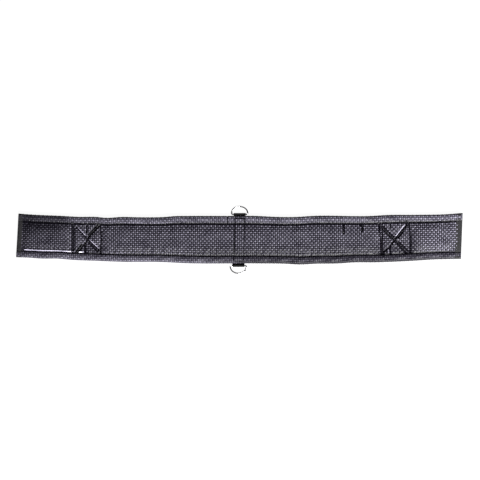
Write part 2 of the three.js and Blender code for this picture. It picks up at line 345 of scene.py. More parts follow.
class Graph:
    """A new material's node tree, with one short call for each node."""

    def __init__(self, name: str) -> None:
        """Makes the material and its Principled shader."""
        self.material = bpy.data.materials.new(name)
        self.material.use_nodes = True
        self.tree = self.material.node_tree
        self.shader = self.tree.nodes["Principled BSDF"]

    def node(
        self, kind: str, inputs: dict[str | int, object] | None = None, **settings: object
    ) -> bpy.types.Node:
        """Adds a node.

        Args:
            kind: The node's type name.
            inputs: A value or an output socket for each named input.
            settings: Properties of the node.

        Returns:
            The new node.
        """
        made = self.tree.nodes.new(kind)
        for key, value in settings.items():
            setattr(made, key, value)
        for key, value in (inputs or {}).items():
            if isinstance(value, Socket):
                self.tree.links.new(value, made.inputs[key])
            else:
                made.inputs[key].default_value = value
        return made

    def place(self, scale: tuple[float, float, float], fabric: bool = True) -> Socket:
        """The fabric map or the object's own coordinates, in mm divided by scale.

        Args:
            scale: Millimetres to one unit of the pattern, for each axis.
            fabric: Whether to read the fabric map instead of the object.

        Returns:
            A vector socket.
        """
        if fabric:
            source = self.node("ShaderNodeUVMap", uv_map="Fabric").outputs["UV"]
        else:
            source = self.node("ShaderNodeTexCoord").outputs["Object"]
        factor = tuple(1000 / s for s in scale)
        return self.node("ShaderNodeMapping", {"Vector": source, "Scale": factor}).outputs["Vector"]

    def noise(self, vector: Socket, detail: float = 4, roughness: float = 0.55) -> Socket:
        """A noise value at a place, as a socket."""
        inputs = {"Vector": vector, "Scale": 1.0, "Detail": detail, "Roughness": roughness}
        return self.node("ShaderNodeTexNoise", inputs).outputs["Fac"]

    def cells(self, vector: Socket) -> Socket:
        """The distance to the nearest cell's middle at a place, as a socket."""
        return self.node("ShaderNodeTexVoronoi", {"Vector": vector, "Scale": 1.0}).outputs["Distance"]

    def math(self, operation: str, a: Socket, b: Socket | float = 0.0) -> Socket:
        """One arithmetic step on two values, as a socket."""
        return self.node("ShaderNodeMath", {0: a, 1: b}, operation=operation).outputs["Value"]

    def between(self, value: Socket, low: float, high: float, out_low: float, out_high: float) -> Socket:
        """Carries a value from one range to another, clamped, as a socket."""
        inputs = {"Value": value, 1: low, 2: high, 3: out_low, 4: out_high}
        return self.node("ShaderNodeMapRange", inputs).outputs["Result"]

    def blend_colours(self, factor: Socket, a: Colour | Socket, b: Colour | Socket) -> Socket:
        """Mixes two colours, each a triple or a socket, by a value, as a socket."""
        made = self.node("ShaderNodeMix", data_type="RGBA")
        self.tree.links.new(factor, made.inputs["Factor"])
        for socket, colour in zip((s for s in made.inputs if s.type == "RGBA"), (a, b)):
            if isinstance(colour, tuple):
                socket.default_value = (*colour, 1)
            else:
                self.tree.links.new(colour, socket)
        return next(s for s in made.outputs if s.type == "RGBA")

    def crest(self) -> Socket:
        """The mesh's number for painted shade and highlight, which follows its relief, as a socket."""
        return self.node("ShaderNodeAttribute", attribute_name="ShadeAndHighlight").outputs["Fac"]

    def bump(self, height: Socket, distance: float, strength: float = 1.0) -> Socket:
        """Bumps the surface by a height, with distance in metres, as a normal socket."""
        inputs = {"Height": height, "Distance": distance, "Strength": strength}
        return self.node("ShaderNodeBump", inputs).outputs["Normal"]

    def set(self, **inputs: object) -> None:
        """Sets or links the shader's inputs, named with underscores for spaces."""
        for key, value in inputs.items():
            socket = self.shader.inputs[key.replace("_", " ")]
            if isinstance(value, Socket):
                self.tree.links.new(value, socket)
            else:
                socket.default_value = value


@dataclass(frozen=True)
class Leatherette:
    """Glossy coated fabric with a fine grain and a cloudy tone. Painted shade makes its weave's dips nearly
    black; painted highlight makes its crests paler, and the crests of folds and lips near white.
    """

    # The first colour is painted shade for the weave's dips. Dark and pale are the coating's own cloudy tone,
    # kept lighter than the near-black coating because on the crests they also stand in for highlights
    # (painted highlight). The near-white colour is a painted highlight on the crests of folds and lips.
    painted_shade: Colour = (0.0025, 0.0018, 0.0045)
    dark: Colour = (0.150, 0.140, 0.190)
    pale: Colour = (0.560, 0.530, 0.670)
    glint: Colour = (0.84, 0.82, 0.88)
    gloss: float = 0.30
    rough: float = 0.46
    contrast: float = 2.8  # the power that keeps a crest's middle pale and paints its sides in dark shade

    def material(self) -> bpy.types.Material:
        """Builds the material: painted shade and highlight from the relief's tone, cloudy scuffing, pores and
        a fine grain in the bump.
        """
        g = Graph("leatherette")
        crest = g.crest()
        wear_and_painted_light = g.noise(g.place((26, 18, 20)), 5)
        grain = g.noise(g.place((0.55, 0.55, 0.55)), 3, 0.6)
        pores = g.cells(g.place((0.5, 0.5, 0.5)))
        tint = g.math("ADD", g.math("MULTIPLY", wear_and_painted_light, 0.65), g.math("MULTIPLY", grain, 0.35))
        height = g.math("ADD", g.math("MULTIPLY", pores, 0.6), grain)
        skin = g.blend_colours(g.between(tint, 0.3, 0.7, 0, 1), self.dark, self.pale)
        shine = g.between(wear_and_painted_light, 0.3, 0.7, self.gloss, self.rough)
        # Painted shade: the dark shade colour is mixed in by the tone, so the weave's dips and the sides of
        # its crests are painted black; tones above 1 take the near-white painted highlight colour.
        unshaded = g.math("POWER", crest, self.contrast)
        skin = g.blend_colours(g.between(crest, 1.0, 1.6, 0, 1), skin, self.glint)
        g.set(
            Base_Color=g.blend_colours(unshaded, self.painted_shade, skin),
            Roughness=shine,
            Normal=g.bump(height, 0.00008, 0.6),
            Specular_IOR_Level=0.2,
        )
        return g.material


@dataclass(frozen=True)
class WovenCloth:
    """A plain weave of two sets of threads."""

    name: str
    dark: Colour
    pale: Colour
    pitch: float  # of the threads, in mm
    depth: float = 0.00015
    rough: float = 0.8
    sheen: float = 0.2
    shine: float = 0.25

    def material(self) -> bpy.types.Material:
        """Builds the material: each thread is a sine across its own direction, over and under by turns."""
        g = Graph(self.name)
        place = g.place((self.pitch, self.pitch, self.pitch))
        split = g.node("ShaderNodeSeparateXYZ", {"Vector": place})
        along = g.math("SINE", g.math("MULTIPLY", split.outputs["X"], 2 * math.pi))
        across = g.math("SINE", g.math("MULTIPLY", split.outputs["Y"], 2 * math.pi))
        weave = g.between(g.math("MULTIPLY", along, across), -1, 1, 0, 1)
        fuzz = g.noise(g.place((0.4, 0.4, 0.4)), 3)
        cloud = g.noise(g.place((14, 14, 14)), 4)
        tint = g.math("ADD", g.math("MULTIPLY", weave, 0.6), g.math("MULTIPLY", cloud, 0.5))
        height = g.math("ADD", weave, g.math("MULTIPLY", fuzz, 0.4))
        g.set(
            Specular_IOR_Level=self.shine,
            Base_Color=g.blend_colours(g.between(tint, 0.2, 0.95, 0, 1), self.dark, self.pale),
            Roughness=g.between(fuzz, 0.3, 0.7, self.rough - 0.08, self.rough + 0.08),
            Normal=g.bump(height, self.depth),
            Sheen_Weight=self.sheen,
            Sheen_Roughness=0.4,
        )
        return g.material


@dataclass(frozen=True)
class Pile:
    """Brushed loops or rows of moulded hooks: a dark, matt, uneven surface."""

    name: str
    dark: Colour = (0.006, 0.006, 0.007)
    pale: Colour = (0.026, 0.026, 0.029)
    grain: float = 0.9

    def material(self) -> bpy.types.Material:
        """Builds the material: a tangle of noise at two scales."""
        g = Graph(self.name)
        tangle = g.noise(g.place((self.grain, self.grain, self.grain)), 6, 0.7)
        tufts = g.noise(g.place((self.grain * 6, self.grain * 5, self.grain * 5)), 4)
        tint = g.math("ADD", g.math("MULTIPLY", tangle, 0.7), g.math("MULTIPLY", tufts, 0.3))
        g.set(
            Base_Color=g.blend_colours(g.between(tint, 0.35, 0.65, 0, 1), self.dark, self.pale),
            Roughness=0.95,
            Specular_IOR_Level=0.1,
            Normal=g.bump(tangle, 0.0004),
            Sheen_Weight=0.03,
            Sheen_Roughness=0.5,
        )
        return g.material


@dataclass(frozen=True)
class Nickel:
    """Bright plated wire with faint drawing marks and handling haze."""

    colour: Colour = (0.70, 0.70, 0.71)

    def material(self) -> bpy.types.Material:
        """Builds the material: a smooth metal whose roughness wanders a little."""
        g = Graph("nickel")
        haze = g.noise(g.place((5, 5, 5), False), 5)
        marks = g.noise(g.place((0.5, 0.5, 0.5), False), 3)
        g.set(
            Base_Color=(*self.colour, 1),
            Metallic=1.0,
            Roughness=g.between(haze, 0.3, 0.7, 0.06, 0.17),
            Normal=g.bump(marks, 0.00002, 0.5),
        )
        return g.material


@dataclass(frozen=True)
class Thread:
    """Bonded sewing thread, with its twist in the bump."""

    colour: Colour = (0.007, 0.006, 0.010)

    def material(self) -> bpy.types.Material:
        """Builds the material: slanting ridges and a little colour change."""
        g = Graph("thread")
        ridges = g.noise(g.place((0.25, 0.25, 0.25), False), 2)
        pale = tuple(c * 2.2 for c in self.colour)
        g.set(
            Base_Color=g.blend_colours(g.between(ridges, 0.35, 0.65, 0, 1), self.colour, pale),
            Roughness=0.6,
            Specular_IOR_Level=0.2,
            Normal=g.bump(ridges, 0.00008),
        )
        return g.material


@dataclass(frozen=True)
class Foam:
    """Closed-cell foam."""

    colour: Colour = (0.03, 0.03, 0.032)

    def material(self) -> bpy.types.Material:
        """Builds the material: small round cells."""
        g = Graph("foam")
        cells = g.cells(g.place((0.8, 0.8, 0.8), False))
        pale = tuple(c * 1.8 for c in self.colour)
        g.set(
            Base_Color=g.blend_colours(g.between(cells, 0.1, 0.7, 0, 1), self.colour, pale),
            Roughness=0.95,
            Normal=g.bump(cells, 0.0002),
        )
        return g.material


@dataclass
class Finishes:
    """Every finish of the belt, made once."""

    leatherette: bpy.types.Material = field(default_factory=Leatherette().material)
    lining: bpy.types.Material = field(
        default_factory=WovenCloth(
            "lining", (0.008, 0.008, 0.009), (0.022, 0.022, 0.024), 0.8, sheen=0.03, shine=0.15
        ).material
    )
    tape: bpy.types.Material = field(
        default_factory=WovenCloth(
            "binding_tape", (0.008, 0.0078, 0.009), (0.022, 0.021, 0.023), 0.7, 0.00008, 0.6, 0.02
        ).material
    )
    webbing: bpy.types.Material = field(
        default_factory=WovenCloth(
            "nylon_webbing", (0.004, 0.004, 0.004), (0.014, 0.014, 0.014), 0.9, 0.00012, 0.8, 0.0, 0.05
        ).material
    )
    label: bpy.types.Material = field(
        default_factory=WovenCloth(
            "label_weave", (0.02, 0.02, 0.022), (0.05, 0.05, 0.054), 0.35, sheen=0.05, shine=0.2
        ).material
    )
    hooks: bpy.types.Material = field(default_factory=Pile("hook_tape", grain=0.6).material)
    loops: bpy.types.Material = field(default_factory=Pile("loop_pile").material)
    nickel: bpy.types.Material = field(default_factory=Nickel().material)
    thread: bpy.types.Material = field(default_factory=Thread().material)
    foam: bpy.types.Material = field(default_factory=Foam().material)


# ---------------------------------------------------------------- the belt's form


@dataclass(frozen=True)
class BeltForm:
    """The belt's real outline, and the way from belt space to it."""

    half_length: float = 476.7
    half_width: float = 50.0
    bow: float = 8.0
    left_slant: float = 2.6
    right_slant: float = 1.9
    slanted: float = 70.0  # the length of each end that leans
    top_edge: tuple = (
        (-477, 56.3), (-440, 53.9), (-380, 51.4), (-345, 49.4), (-306, 49.2), (-288, 47.4), (-252, 49.2),
        (-215, 48.5), (-160, 49.2), (-138, 51.0), (-110, 51.3), (-40, 51.3), (40, 51.2), (78, 49.3),
        (126, 49.4), (150, 51.0), (290, 51.7), (312, 53.1), (380, 53.7), (440, 54.9), (477, 57.6),
    )
    bottom_edge: tuple = (
        (-477, -36.6), (-450, -37.7), (-425, -39.6), (-390, -39.8), (-360, -42.3), (-306, -44.5),
        (-252, -46.6), (-160, -47.3), (-126, -49.1), (30, -49.9), (96, -50.6), (130, -52.2), (162, -50.7),
        (216, -49.8), (240, -48.0), (290, -47.6), (378, -43.9), (414, -41.6), (477, -40.2),
    )

    def middle(self, x: np.ndarray) -> np.ndarray:
        """The middle line's y at x: a parabola, higher towards the ends."""
        return self.bow * (x / self.half_length) ** 2

    def place(self, x: np.ndarray, w: np.ndarray, z: np.ndarray) -> np.ndarray:
        """Carries belt space to the object's own space.

        Each half of the width is stretched from the middle line to its own edge, and each end leans by a
        slant that grows towards the tip.

        Args:
            x: Along the belt, in mm.
            w: Across the belt, in mm.
            z: Height, in mm.

        Returns:
            Points in metres, with a last axis of 3.
        """
        x, w, z = np.broadcast_arrays(x, w, z)
        middle = self.middle(x)
        above, below = curve_through(self.top_edge, x) - middle, middle - curve_through(self.bottom_edge, x)
        edge = np.where(w > 0, above, below)
        slant = np.where(x > 0, self.right_slant, self.left_slant)
        lean = slant * smooth(np.abs(x), self.half_length - self.slanted, self.half_length)
        share = w / self.half_width
        return np.stack([x + lean * share, middle + share * edge, z], axis=-1) * MM


@dataclass(frozen=True)
class Zone:
    """One length of the belt's layers, which bends across one crease between two bodies."""

    name: str
    start: float
    end: float
    near: str
    far: str
    bend: tuple[float, float]

    @property
    def side(self) -> int:
        """1 on the +X side, -1 on the other."""
        return 1 if self.end > 0 else -1

    def columns(self, spacing: float, last: float | None = None) -> np.ndarray:
        """Even positions along x from one end of the zone to the other.

        Args:
            spacing: The wanted spacing in mm.
            last: Where the zone stops instead, from the belt's middle, if that is nearer.

        Returns:
            Rising positions.
        """
        start, end = self.start, self.end
        if last is not None:
            start, end = max(start, -last), min(end, last)
        return np.linspace(start, end, max(2, round((end - start) / spacing) + 1))

    def join(self, piece: bpy.types.Object) -> None:
        """Bakes a piece's placement into its mesh."""
        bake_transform(piece)

    def nodes(self, part: str) -> list[str]:
        """The CAD nodes of a layer that this zone's piece stands for."""
        names = [f"{self.far}_{part}"]
        return names + [f"{self.near}_{part}"] if self.near == "centre" and self.side > 0 else names


def belt_zones() -> list[Zone]:
    """The eight zones, from the crease and the span that each one holds.

    Returns:
        Zones of the right side and of the left side, from the middle out.
    """
    limits = [0, 27 * CELL, 49 * CELL, 66 * CELL, COVER_END]
    spans = ["inner_span", "outer_span", "box", "tab"]
    bends = [(26, 106), (136, 216), (243, 297), (365, 421)]
    zones = []
    for side in (1, -1):
        near = "centre"
        for k, span in enumerate(spans):
            start, end = sorted((side * limits[k], side * limits[k + 1]))
            far = f"{word_of(side)}_{span}"
            zones.append(Zone(far, start, end, near, far, bends[k]))
            near = far
    return zones


@dataclass(frozen=True)
class StitchPlan:
    """Where every row of stitches runs, in belt space."""

    left_box: tuple[float, float] = (-359.0, -298.0)
    right_box: tuple[float, float] = (299.5, 364.5)
    box_w: float = 33.5
    strap_x: tuple[float, float] = (-11.2, 9.6)
    strap_slant: float = 0.028
    strap_w: float = 45.0
    label_rows: tuple = (
        ((222.5, 34.0), (222.8, 13.5)),
        ((257.5, 34.0), (263.0, 26.5)),
        ((263.0, 26.5), (261.5, 17.5)),
    )
    band_join: float = -26.0

    def left_cross(self) -> list[Line]:
        """The left box's sides, its doubled side, its cross and its short inner rows."""
        (a, b), end = self.left_box, self.box_w
        return [
            *chain((a, -end), (a, end)),
            *chain((a + 3.7, -end), (a + 3.7, end)),
            *chain((b - 0.8, end), (b + 1.4, 0), (b - 0.4, -end)),
            *chain((a + 9.5, 25.8), (a + 29.6, 2.2), (a + 37.3, -6.3), (b - 2.2, -26.7)),
            *chain((a + 34.6, -9.1), (b - 7.5, -28.4)),
            *chain((b - 3, 30), (b - 23.2, 6.4), (b - 31.3, -9.2), (a + 11, -end)),
            *chain((b - 7.5, 31), (b - 25.5, 9)),
            *chain((b - 41, -14.4), (a + 7, -32.6)),
            *chain((a + 31.5, 31), (a + 31.5, 15)),
            *chain((a + 27.7, -15), (a + 27.7, -end)),
        ]

    def right_cross(self) -> list[Line]:
        """The right box's sides, its doubled side, its cross and its short inner rows."""
        (a, b), end = self.right_box, self.box_w
        return [
            *chain((a - 0.7, 32), (a + 1.5, 8), (a + 3.5, -10), (a + 4.5, -31)),
            *chain((a + 6.2, end), (a + 6.2, 8), (a + 6, -18), (a + 9, -38)),
            *chain((b - 2.2, end), (b + 1.4, 3), (b + 0.9, -end)),
            *chain((b - 0.6, 26), (b + 0.2, 3)),
            *chain((a + 5, 24), (a + 17.5, 8.7), (a + 29, 0), (a + 39, -11), (b - 7, -33)),
            *chain((a + 9, 27), (a + 22.5, 10.5), (a + 31, 3.5)),
            *chain((a + 41.5, -7.5), (b - 4.5, -27)),
            *chain((b - 6.7, 39.5), (b - 6.7, 27), (b - 22.8, 10), (b - 30.9, -0.8), (b - 40.7, -14.6)),
            *chain((b - 40.7, -14.6), (b - 44.4, -20.1), (a + 10, -27.4)),
            *chain((b - 14.7, 14.5), (b - 24.6, 1.5)),
            *chain((a + 22.6, -19.2), (a + 23, -end)),
            *chain((a + 23.9, 32), (a + 23.9, 24)),
        ]

    def folds(self) -> list[Line]:
        """The folds that the cover makes beside some rows, on the side that is pulled up."""
        (a, b), (c, d) = self.left_box, self.right_box
        return [
            *chain((a + 12.2, 25), (a + 29, 6.8)),
            *chain((a + 37.8, -3.2), (b - 4, -21.5)),
            *chain((d - 11.5, 28), (d - 29.3, 5)),
            *chain((c + 19.5, -24), (c + 20, -31)),
        ]

    def deep_rows(self) -> list[Line]:
        """The arms of the crosses that are pulled deepest, beside which the cover is painted in black shade.
        """
        (a, b), (c, d) = self.left_box, self.right_box
        return [
            *chain((b - 4, 29), (b - 23.2, 6.4)),
            *chain((b - 32, -10), (a + 10, -32)),
            *chain((c + 5, 25), (c + 17.5, 8.7), (c + 29, 0), (c + 39, -11), (d - 7, -33)),
        ]

    def strap_rows(self) -> list[Line]:
        """The rectangle that holds the cross strap, leaning with it."""
        corners = [
            (x + self.strap_slant * w, w)
            for x, w in (
                (self.strap_x[0], -self.strap_w),
                (self.strap_x[1], -self.strap_w),
                (self.strap_x[1], self.strap_w),
                (self.strap_x[0], self.strap_w),
            )
        ]
        return list(zip(corners, corners[1:] + corners[:1]))

    def pulled_lines(self) -> list[Line]:
        """The rows that go right through the padding and pull it down."""
        return self.left_cross() + self.right_cross()

    def cover_lines(self) -> list[Line]:
        """All the rows that mark the padded cover, except the label's."""
        return self.pulled_lines() + self.strap_rows()


# ---------------------------------------------------------------- padding


@dataclass
class Padding:
    """The padded cover's height: a cloth held at its seams and blown up by the foam under it."""

    plan: StitchPlan
    spacing: float = 2.4  # of the cloth's points, in mm
    unit: float = 0.01  # the cloth's own units to a millimetre
    frames: int = 20
    pressure: float = 0.9
    slack: float = -0.012
    seam_z: float = 8.2
    foam_z: float = 1.0
    row_depth: float = 1.7
    row_width: float = 2.3
    groove: tuple[float, float] = (1.1, 1.1)  # the depth and width of the narrow groove along a row
    label_groove: tuple[float, float] = (1.5, 1.6)
    seam_groove: tuple[float, float] = (1.1, 1.9)
    fold: tuple[float, float] = (0.9, 1.2)  # the height and width of a fold beside a row
    lip_at: float = 4.2  # how far above the lower seam the lip stands
    lip_width: float = 1.7
    lip_height: float = 1.5
    highest: float = 11.7
    lowest: float = 6.4
    table: np.ndarray = field(init=False)

    def __post_init__(self) -> None:
        """Lays out the cloth's grid and settles its height."""
        nx = round(2 * TAPE_MOUTH / self.spacing) + 1
        nw = round(2 * SEAM_W / self.spacing) + 1
        self.x = np.linspace(-TAPE_MOUTH, TAPE_MOUTH, nx)
        self.w = np.linspace(-SEAM_W, SEAM_W, nw)
        gx, gw = np.meshgrid(self.x, self.w, indexing="ij")
        self.table = self.still(gx, gw)
        self.table = self.blown(gx, gw)
        LOG.info("padding %.1f to %.1f mm high", self.table.min(), self.table.max())

    def still(self, x: np.ndarray, w: np.ndarray) -> np.ndarray:
        """The height before the foam presses up: a shallow crown, dipped along every row of stitches.

        Args:
            x: Along the belt.
            w: Across it.

        Returns:
            Heights in mm.
        """
        across = 1 - (w / SEAM_W) ** 2
        ends = smooth(TAPE_MOUTH - np.abs(x), 0, 22)
        rows = distance_to_lines(x, w, self.plan.pulled_lines())
        dip = bell(rows, self.row_width)
        crown = self.foam_z * across * ends
        return self.seam_z + crown * (1 - dip) - self.row_depth * dip * (across > 0.02)

    def blown(self, x: np.ndarray, w: np.ndarray) -> np.ndarray:
        """Runs Blender's cloth on the sheet, held along its sides and rows, and reads its height.

        Args:
            x: Along the belt, on the cloth's grid.
            w: Across it.

        Returns:
            Heights in mm, kept between the lowest and the highest that the belt has room for.
        """
        start = np.stack([x, w, self.still(x, w)], axis=-1) * self.unit
        sheet = make_object("padding_cloth", start.reshape(-1, 3), grid_faces(*x.shape))
        rows = distance_to_lines(x, w, self.plan.pulled_lines())
        side = (np.abs(w) >= SEAM_W - 0.1) | (np.abs(x) >= TAPE_MOUTH - 0.1)
        held = sheet.vertex_groups.new(name="held")
        held.add(np.flatnonzero(side | (rows < self.spacing * 0.55)).tolist(), 1.0, "ADD")
        cloth = sheet.modifiers.new("cloth", "CLOTH")
        cloth.collision_settings.use_collision = False
        settings = cloth.settings
        settings.quality = 5
        settings.mass = 0.3
        settings.tension_stiffness = 30
        settings.compression_stiffness = 30
        settings.shear_stiffness = 8
        settings.bending_stiffness = 0.6
        settings.vertex_group_mass = "held"
        settings.use_pressure = True
        settings.uniform_pressure_force = self.pressure
        settings.shrink_min = self.slack
        settings.shrink_max = self.slack
        settings.effector_weights.gravity = 0
        cloth.point_cache.frame_end = self.frames
        scene = bpy.context.scene
        for frame_number in range(1, self.frames + 1):
            scene.frame_set(frame_number)
        settled = sheet.evaluated_get(bpy.context.evaluated_depsgraph_get()).to_mesh()
        co = np.empty(len(settled.vertices) * 3, np.float32)
        settled.vertices.foreach_get("co", co)
        scene.frame_set(1)
        mesh = sheet.data
        bpy.data.objects.remove(sheet)
        bpy.data.meshes.remove(mesh)
        height = co.reshape(*x.shape, 3)[..., 2] / self.unit
        return np.clip(height, self.lowest, self.highest)

    def height(self, x: np.ndarray, w: np.ndarray) -> np.ndarray:
        """The cover's height on a grid, without its weave.

        Between the cloth's points it is the cloth's own cubic. A narrow groove runs along each row, short
        creases cross the seams and rows, and past the end bindings' mouths the pad is pressed flat.

        Args:
            x: Rising positions along the belt, one for each row.
            w: Positions across it, one for each column.

        Returns:
            Heights in mm, rows by columns.
        """
        rows_at = (np.clip(x, self.x[0], self.x[-1]) - self.x[0]) / self.spacing_x
        columns_at = (np.clip(w, self.w[0], self.w[-1]) - self.w[0]) / self.spacing_w
        z = upsample(upsample(self.table, rows_at, 0), columns_at, 1)
        gx, gw = np.meshgrid(x, w, indexing="ij")
        rows = distance_to_lines(gx, gw, self.plan.cover_lines())
        label = distance_to_lines(gx, gw, list(self.plan.label_rows))
        seam = np.abs(SEAM_W - np.abs(gw))
        boxes = distance_to_lines(gx, gw, self.plan.pulled_lines())
        folds = distance_to_lines(gx, gw, self.plan.folds())
        for distance, (depth, width) in ((rows, self.groove), (label, self.label_groove)):
            z = z - depth * bell(distance, width)
        z = z + 0.2 * bell(boxes - 2.6, 1.0) + self.fold[0] * bell(folds, self.fold[1])
        z = z - self.seam_groove[0] * bell(seam, self.seam_groove[1]) + self.lip(gx, gw)
        near = np.minimum(np.minimum(rows, seam), label)
        crease = 0.22 * np.exp(-near / 3.5) * ripple(gx + 0.35 * gw, 6.5, 3)
        wide = 0.16 * ripple(gx + 0.8 * gw, 31, 5) * ripple(gx * 0.4 - gw, 24, 6)
        z = z + crease + wide * smooth(near, 1, 8)
        return z - 1.1 * smooth(np.abs(gx), TAPE_MOUTH - 1, COVER_END)

    def lip(self, x: np.ndarray, w: np.ndarray) -> np.ndarray:
        """The fold along the lower seam, tallest on the left tab, where the whole pad leans to it.

        Args:
            x: Along the belt.
            w: Across it.

        Returns:
            Heights in mm to add.
        """
        left = self.left_lip(x)
        size = 0.1 + 0.15 * ripple(x, 38, 71) + self.lip_height * left
        lean = left * np.clip((SEAM_W - w) / (2 * SEAM_W), 0, 1) * smooth(w, -SEAM_W, -SEAM_W + 5)
        return size * bell(w + SEAM_W - self.lip_at, self.lip_width) + lean

    def left_lip(self, x: np.ndarray) -> np.ndarray:
        """How far the left tab's tall fold has risen at x, from 0 to 1."""
        held = smooth(-x, 333, 342) * smooth(x, -TAPE_MOUTH, -TAPE_MOUTH + 4)
        return held * (0.85 + 0.15 * ripple(x, 33, 73))

    @property
    def spacing_x(self) -> float:
        """The cloth grid's true spacing along the belt."""
        return self.x[1] - self.x[0]

    @property
    def spacing_w(self) -> float:
        """The cloth grid's true spacing across the belt."""
        return self.w[1] - self.w[0]


def basket(x: np.ndarray, w: np.ndarray) -> np.ndarray:
    """The height of the embossed basket weave.

    Squares of side CELL take turns: a square shows a strip that runs along x, rounded across w, or one that
    runs along w, rounded across x. Each strip also dips at its two ends, where it goes under the next.

    Args:
        x: Along the belt, in mm.
        w: Across it, in mm.

    Returns:
        Heights from 0 to 1.
    """
    cx, cw = x / CELL, w / CELL
    fx, fw = cx - np.floor(cx) - 0.5, cw - np.floor(cw) - 0.5
    lengthwise = (np.floor(cx) + np.floor(cw)) % 2 < 1
    round_side = np.where(lengthwise, fw, fx)
    run = np.where(lengthwise, fx, fw)
    lift = np.where(lengthwise, 1.0, 0.7)
    return lift * np.cos(math.pi * round_side) * (1 - 0.6 * (2 * run) ** 2)


@dataclass(frozen=True)
class PaintedLightAndShade:
    """Painted light and shade on the crests, as a share of their colour: painted light on the right tab,
    painted shade on the left tab's top, on the lower half, beside the lower seam and on the lower band.
    """

    base: float = 0.94
    right: float = 0.11  # painted light added on the right tab
    left: tuple[float, float, float] = (0.04, 0.3, 0.08)  # painted shade taken off the left tab, its top and its tip
    low: tuple[float, float] = (0.05, 0.12)  # painted shade taken off the lower half, and more of it on the right
    foot: float = 0.14  # painted shade taken off beside the lower seam
    roll: tuple[float, float, float] = (0.1, 0.22, 0.3)  # painted shade taken off the lower band, its right tab and its edge

    def share(self, x: np.ndarray, w: np.ndarray) -> np.ndarray:
        """Reads the painted light and shade.

        Args:
            x: Along the belt, in mm.
            w: Across it, in mm.

        Returns:
            Shares of 1.
        """
        left, right = smooth(-x, 345, 400), smooth(x, 368, 410)
        whole, top, tip = self.left
        share = self.base + self.right * right
        share = share - left * (whole + top * smooth(w, -10, 36) + tip * smooth(-x, 400, 470))
        low = self.low[0] + self.low[1] * smooth(x, -150, -40)
        share = share - low * (1 - right) * smooth(-w, 0, 26)
        foot = self.foot * smooth(-w, 24, 32) * smooth(w, -34.6, -34.4)
        share = share - foot * smooth(x, -120, -60) * (1 - right)
        middle = smooth(x, -60, 40)
        band, tab, edge = self.roll
        rolled = smooth(-w, 34.5, 36) * (band * middle + tab * right)
        return share - rolled - edge * smooth(-w, 43, 48) * middle


# ---------------------------------------------------------------- sub-assemblies


@dataclass
class Belt:
    """What every sub-assembly of the belt is made from."""

    form: BeltForm
    plan: StitchPlan
    zones: list[Zone]
    padding: Padding
    finishes: Finishes
    # painted light and shade on the crests, by place
    wear_and_painted_light: PaintedLightAndShade = field(default_factory=PaintedLightAndShade)

    def dress(
        self, piece: bpy.types.Object, finish: bpy.types.Material, slot: str, nodes: list[str]
    ) -> bpy.types.Object:
        """Gives a piece its material, hides the CAD nodes that it stands for, and logs it."""
        piece.data.materials.append(finish)
        if nodes:
            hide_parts(*nodes)
        LOG.info("%s: %d faces", piece.name, len(piece.data.polygons))
        return piece

    def zone(self, far: str) -> Zone:
        """The zone whose outer body has this name."""
        return next(zone for zone in self.zones if zone.far == far)

    def end_pinch(self, x: np.ndarray) -> np.ndarray:
        """How much of its thickness the belt keeps at x: all of it, down to 0.78 inside an end binding."""
        return 1 - 0.22 * smooth(np.abs(x), TAPE_MOUTH - 14, TAPE_MOUTH + 4)


@dataclass
class InnerCover:
    """The embossed leatherette panel on the body side."""

    belt: Belt
    thickness: float = 0.9
    relief: float = 1.15
    tuck: float = 1.4  # how far the panel runs on past the seams, under the bindings

    def surface(self, x: np.ndarray, w: np.ndarray) -> tuple[np.ndarray, np.ndarray]:
        """The panel's top: the padding's height with the basket weave on it, flat where it is tucked in.

        Args:
            x: Rising positions along the belt, one for each row.
            w: Positions across it, one for each column.

        Returns:
            Heights in mm and tones of painted shade and highlight, each rows by columns.
        """
        z = self.belt.padding.height(x, w)
        gx, gw = np.meshgrid(x, w, indexing="ij")
        plan = self.belt.plan
        groups = (plan.pulled_lines(), plan.strap_rows(), plan.label_rows, plan.deep_rows(), plan.folds())
        boxes, strap, label, deep, folds = (distance_to_lines(gx, gw, list(lines)) for lines in groups)
        weave = basket(gx, gw)
        shown = smooth(SEAM_W + 0.4 - np.abs(gw), 0, 1.2)
        pressed = 0.35 + 0.65 * smooth(np.minimum(boxes, strap), 0.4, 1.8)
        uneven = 0.86 + 0.14 * ripple(gx * 0.9 + gw * 1.7, 60, 8)
        z = z + self.relief * weave * shown * pressed * uneven
        # Painted highlight on the crests of the folds and the lip (tones above 1); painted black shade beside
        # every row and seam (tone 0).
        upper, lower = SEAM_W - gw, SEAM_W + gw
        fold = (1.35 + 0.45 * weave) * (0.93 + 0.1 * ripple(gx - gw, 14, 9)) * bell(folds, 1.0)
        risen = self.belt.padding.left_lip(gx) + 0.62 * smooth(gx, -352, -348) * smooth(-gx, 330, 334)
        risen = risen + (0.25 + 0.2 * ripple(gx, 9, 21)) * smooth(gx, -326, -322) * smooth(-gx, 235, 255)
        lip = (1.7 + 0.3 * weave) * risen * bell(lower - 3.2, 1.35)
        tone = smooth(boxes, 0.8, 1.8) * smooth(strap, 0.5, 1.5) * smooth(label, 1.9, 3.2)
        tone = tone * smooth(deep, 1.2, 2.6) * smooth(upper, 1.6, 3.2) * smooth(lower, 1.2, 2.3)
        return z, tone * np.maximum(weave, np.maximum(fold, lip)) * self.belt.wear_and_painted_light.share(gx, gw)

    def build(self) -> None:
        """Makes one closed panel for each zone."""
        reach = round((SEAM_W + self.tuck) / FINE)
        w = np.arange(-reach, reach + 1) * FINE
        for zone in self.belt.zones:
            x = zone.columns(FINE)
            top, tone = self.surface(x, w)
            gx, gw = np.meshgrid(x, w, indexing="ij")
            below = self.belt.padding.height(x, w) - self.thickness
            skins = [self.belt.form.place(gx, gw, z) for z in (top, below)]
            piece = shell(f"inner_cover_{zone.name}", *skins, fabric_map(gx, gw), tone)
            self.belt.dress(piece, self.belt.finishes.leatherette, "cover", zone.nodes("inner_cover"))
            zone.join(piece)


